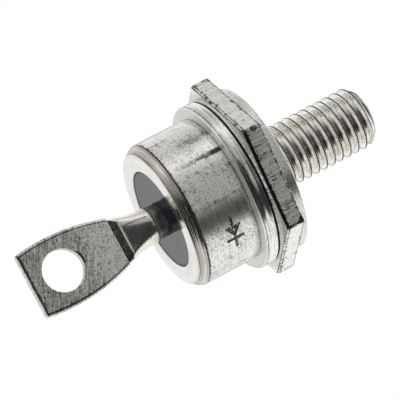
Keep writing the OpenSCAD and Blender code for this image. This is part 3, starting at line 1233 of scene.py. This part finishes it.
@dataclass
class Terminal:
    """Tube pressed flat: barrel, widening neck, step and flat with a hole."""

    barrel: float = 1.79  # radius of the barrel
    round_end: float = 12.5  # height where the barrel begins to widen
    ridge: float = 15.35  # height of the ridge at the step
    ridge_half: float = 2.17  # half of the width at the ridge
    ridge_deep: float = 1.25  # half of the depth at the ridge
    lip: float = 0.16  # length of the raised lip at the ridge
    lip_rise: float = 0.07  # height of that lip
    step: float = 16.0  # height where the flat begins
    lap: float = 0.02  # how far the flat reaches into the step
    end: float = 25.3995  # height of the end, just inside the construction box
    thick: float = 1.0  # thickness of the flat
    arc: float = 20.0  # radius of the flat's bowed sides
    arc_height: float = 22.2  # height where the flat is widest
    wide: float = 7.04  # largest width
    edge: float = 0.28  # rounding of the bowed sides
    rim: float = 0.05  # rounding of the hole and the end
    hole: float = 2.075  # radius of the hole
    hole_height: float = 21.95  # height of the hole

    def half_width(self, height: float) -> float:
        """Returns half of the flat's width at a height."""
        return self.wide / 2.0 - self.arc + math.sqrt(self.arc ** 2 - (height - self.arc_height) ** 2)

    def plate(self, shell: Shell, low: float) -> None:
        """Adds the flat with its hole and sharp edges.

        Args:
            shell: An empty shell.
            low: Height of its lower end.
        """
        half = self.thick / 2.0
        centre = self.arc - self.wide / 2.0
        angles = [math.asin((height - self.arc_height) / self.arc) for height in (low, self.end)]
        sides = []
        for side in (1.0, -1.0):
            start = shell.verts.new((side * self.half_width(low), -half, low))
            last = ops.spin(shell, geom=[start], cent=(-side * centre, 0.0, self.arc_height),
                            axis=(0.0, -side, 0.0), dvec=ORIGIN, angle=angles[1] - angles[0], steps=40,
                            use_merge=False, use_duplicate=False)["geom_last"]
            sides.append((start, only(last, Point)[0]))
        for ends in zip(*sides):
            shell.edges.new(ends)
        place = Matrix.Translation((0.0, -half, self.hole_height)) @ Matrix.Rotation(math.pi / 2.0, 4, "X")
        ops.create_circle(shell, cap_ends=False, segments=96, radius=self.hole, matrix=place)
        ops.triangle_fill(shell, use_beauty=True, edges=shell.edges[:])
        back = only(ops.extrude_face_region(shell, geom=shell.faces[:])["geom"], Point)
        ops.translate(shell, verts=back, vec=(0.0, self.thick, 0.0))
        ops.recalc_face_normals(shell, faces=shell.faces[:])

    def flat(self, work: Workpiece) -> None:
        """Adds the flat with its edges rounded, apart from those at the step.

        Args:
            work: The piece.
        """
        shell = bmesh.new()
        low = self.step - self.lap
        self.plate(shell, low)
        bows, rims = [], []
        for edge in shell.edges:
            middle = (edge.verts[0].co + edge.verts[1].co) / 2.0
            if edge.calc_face_angle(0.0) < 1.0 or abs(middle.y) < self.thick / 4.0:
                continue
            round_hole = math.hypot(middle.x, middle.z - self.hole_height) < self.hole + 0.1
            if round_hole or middle.z > self.end - TOUCH:
                rims.append(edge)
            elif middle.z > low + TOUCH:
                bows.append(edge)
        bevel(shell, bows, self.edge, 5, clamp=True)
        bevel(shell, [edge for edge in rims if edge.is_valid], self.rim, 2, clamp=True)
        for edge in shell.edges:
            edge.smooth = any(vert.co.z > low + TOUCH for vert in edge.verts)
        work.take(shell, 0)

    def sections(self) -> list[Section]:
        """Returns the sections from the barrel's open end to the flat.

        Returns:
            The sections in order.
        """
        rows = [Section(BARREL_LOW + rise, self.barrel - cut, self.barrel - cut, 1.0)
                for rise, cut in ((0.0, 0.1), (0.03, 0.03), (0.1, 0.0))]
        barrel = Section(self.round_end, self.barrel, self.barrel, 1.0)
        neck = Section(self.ridge - self.lip, self.ridge_half, self.ridge_deep - self.lip_rise, 0.52)
        ridge = Section(self.ridge, self.ridge_half, self.ridge_deep, 0.5)
        flat = Section(self.step, self.half_width(self.step) - self.edge * 0.8, self.thick / 2.0 - 0.01, 0.25)
        rows += [barrel.toward(neck, count / 16.0, 3.0) for count in range(17)]
        return rows + [ridge.toward(flat, count / 5.0) for count in range(6)]

    def neck(self, work: Workpiece) -> None:
        """Adds the barrel, the widening neck and the step.

        Args:
            work: The piece.
        """
        shell = bmesh.new()
        angle = shell.verts.layers.float.new("angle")
        ring = ops.create_circle(shell, cap_ends=False, segments=128, radius=SPIGOT,
                                 matrix=Matrix.Translation((0.0, 0.0, BARREL_LOW)))["verts"]
        for vert in ring:
            vert[angle] = math.atan2(vert.co.y, vert.co.x)
        loop = shell.edges[:]
        ops.contextual_create(shell, geom=loop)
        for section in self.sections():
            grown = ops.extrude_edge_only(shell, edges=loop)["geom"]
            loop = only(grown, Edge)
            for vert in only(grown, Point):
                vert.co = section.point(vert[angle])
            for edge in loop:
                edge.smooth = not self.ridge - self.lip - 0.01 <= section.height <= self.ridge + 0.01
        ops.contextual_create(shell, geom=loop)
        work.take(shell, 0)

    def build(self) -> list[Object]:
        """Builds and dresses the terminal.

        Returns:
            Its one piece.
        """
        work = Workpiece()
        self.neck(work)
        self.flat(work)
        return [work.stand_for("terminal_lug", "terminal_body", Slot.LUG, LugPlating(
            "lug_plate", form=self, light=(0.9, 0.875, 0.815), dark=(0.07, 0.067, 0.061), grain=Grain.GROUND,
            pitch=6.5, rough=0.2, stain=0.08, streak=0.25, speck=0.4, ink=(0.68, 0.67, 0.64)))]


@dataclass
class Inside:
    """Pieces inside the sealed cap, which keep their construction shapes."""

    nodes: Mapping[str, Object]  # construction nodes by name

    def build(self) -> list[Object]:
        """Dresses each inner node.

        Returns:
            The nodes.
        """
        solder = ((0.46, 0.46, 0.47), (0.3, 0.3, 0.31), 1.0, 0.42)
        plate = ((0.42, 0.41, 0.4), (0.34, 0.33, 0.33), 1.0, 0.36)
        finishes = {
            "inner_lead": Inner("lead_copper", (0.78, 0.4, 0.24), (0.6, 0.27, 0.15), 1.0, 0.34, 1.5),
            "solder_base": Inner("base_solder", *solder, 2.5),
            "solder_lead": Inner("lead_solder", *solder, 3.5),
            "lower_plate": Inner("lower_molybdenum", *plate, 2.0),
            "upper_plate": Inner("upper_molybdenum", *plate, 2.2),
            "silicon_die": Inner("die_silicon", (0.16, 0.17, 0.2), (0.11, 0.115, 0.14), 0.7, 0.18, 1.0),
            "junction_coating": Inner("coating_silicone", (0.62, 0.58, 0.52), (0.5, 0.46, 0.4), 0.0, 0.4, 1.2)}
        for name, finish in finishes.items():
            material = finish.material()
            for slot in self.nodes[name].material_slots:
                slot.material = material
        return [self.nodes[name] for name in finishes]


@dataclass
class Studio:
    """Light tent, pale floor, lamps and the camera of the photograph."""

    stand: Vector = Vector((-10.847, -287.324, 93.101))  # the camera's position in millimetres
    lens: float = 283.6  # focal length in millimetres
    sensor: float = 36.0  # width of the sensor in millimetres
    floor: float = -46.0  # height of the floor in millimetres
    floor_radius: float = 0.05  # radius of the floor in metres
    lamp_reach: float = 0.45  # distance of the lamps in metres
    lamp_size: float = 0.3  # width of the lamps in metres

    @staticmethod
    def bearing() -> Matrix:
        """Returns the camera's right, up and back directions as columns."""
        return Matrix(((-0.473584, 0.88002, -0.035813),
                       (-0.237095, -0.166543, -0.957105),
                       (-0.848236, -0.444778, 0.287521)))

    def camera(self) -> None:
        """Sets the camera."""
        data = bpy.data.cameras.new("camera")
        data.lens = self.lens
        data.sensor_width = self.sensor
        data.clip_start = 0.01
        made = put("camera", data)
        made.matrix_world = Matrix.Translation(self.stand * METRE) @ self.bearing().to_4x4()
        bpy.context.scene.camera = made

    def tent(self) -> None:
        """Sets the world: white behind, and grey and dark cloth beside the camera."""
        world = bpy.data.worlds.new("tent")
        world.use_nodes = True
        bpy.context.scene.world = world
        bench = Bench(world.node_tree)
        way = bench.add("TexCoord", {}, {}, "Generated")
        axes = self.bearing().transposed()
        up, back = (bench.vector("DOT_PRODUCT", way, tuple(axes[row]), "Value") for row in (1, 2))
        cloth = 0.42 - 0.395 * up.rise(0.06, -0.17)
        top = up.rise(0.2, 0.6)
        below = back.rise(0.3, 0.5)
        share = below + (back.rise(0.25, 0.8) - below) * top
        strip = back.rise(0.25, 0.02) * back.rise(-0.95, -0.1) * top * 0.36
        far = back.rise(-0.9, -0.97) * 0.45
        lens = back.rise(0.89, 0.94) * 0.93
        shown = (1.0 - share * (1.0 - cloth) - strip - far) * (1.0 - lens)
        glossy, plain = bench.ray("Glossy"), bench.ray("Camera", "Transmission")
        level = glossy * shown + (1.0 - glossy) * 0.6
        strength = plain + (1.0 - plain) * level
        light = bench.add("Background", {}, {"Color": WHITE, "Strength": strength})
        bench.node("OutputWorld", {}, {"Surface": light})

    def lamp(self, name: str, way: Colour, power: float) -> None:
        """Adds a soft lamp.

        Args:
            name: Name of the lamp.
            way: Direction to the lamp in the camera's right, up and back.
            power: Power in watts.
        """
        data = bpy.data.lights.new(name, "AREA")
        data.shape = "DISK"
        data.size = self.lamp_size
        data.energy = power
        made = put(name, data)
        made.visible_glossy = False
        spot = (self.bearing() @ Vector(way)).normalized() * self.lamp_reach
        made.matrix_world = Matrix.Translation(spot) @ spot.to_track_quat("Z", "Y").to_matrix().to_4x4()

    def ground(self) -> None:
        """Adds a round pale floor below the stud."""
        shell = bmesh.new()
        ops.create_circle(shell, cap_ends=True, segments=96, radius=self.floor_radius,
                          matrix=Matrix.Translation((0.0, 0.0, self.floor * METRE)))
        mesh = mesh_of("floor", shell)
        material = bpy.data.materials.new("pale_floor")
        material.use_nodes = True
        bench = Bench(material.node_tree)
        seen = bench.ray("Camera", "Glossy", "Transmission")
        cloth = bench.add("BsdfDiffuse", {}, {"Color": (0.86, 0.86, 0.86, 1.0)})
        white = bench.add("Emission", {}, {"Color": WHITE, "Strength": 1.14})
        mixed = bench.add("MixShader", {}, {0: seen * 0.85, 1: cloth, 2: white})
        bench.node("OutputMaterial", {}, {"Surface": mixed})
        mesh.materials.append(material)
        made = put("floor", mesh)

    def build(self) -> None:
        """Builds the studio."""
        bpy.context.scene.view_settings.view_transform = "Standard"
        self.camera()
        self.tent()
        self.ground()
        self.lamp("key", (-0.15, 0.95, 0.1), 0.3)
        self.lamp("fill", (0.35, -0.9, -0.1), 0.2)


def main() -> None:
    """Builds the pieces in order, reports each, and builds the studio."""
    logging.basicConfig(level=logging.INFO, format="%(message)s")
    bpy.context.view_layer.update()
    for assembly in (Base(), Case(), Seal(), Terminal(), Inside(frame["nodes"])):
        for piece in assembly.build():
            LOG.info("%s: %s, %d faces", type(assembly).__name__, piece.name, len(piece.data.polygons))
    Studio().build()


if __name__ == "__main__":
    main()
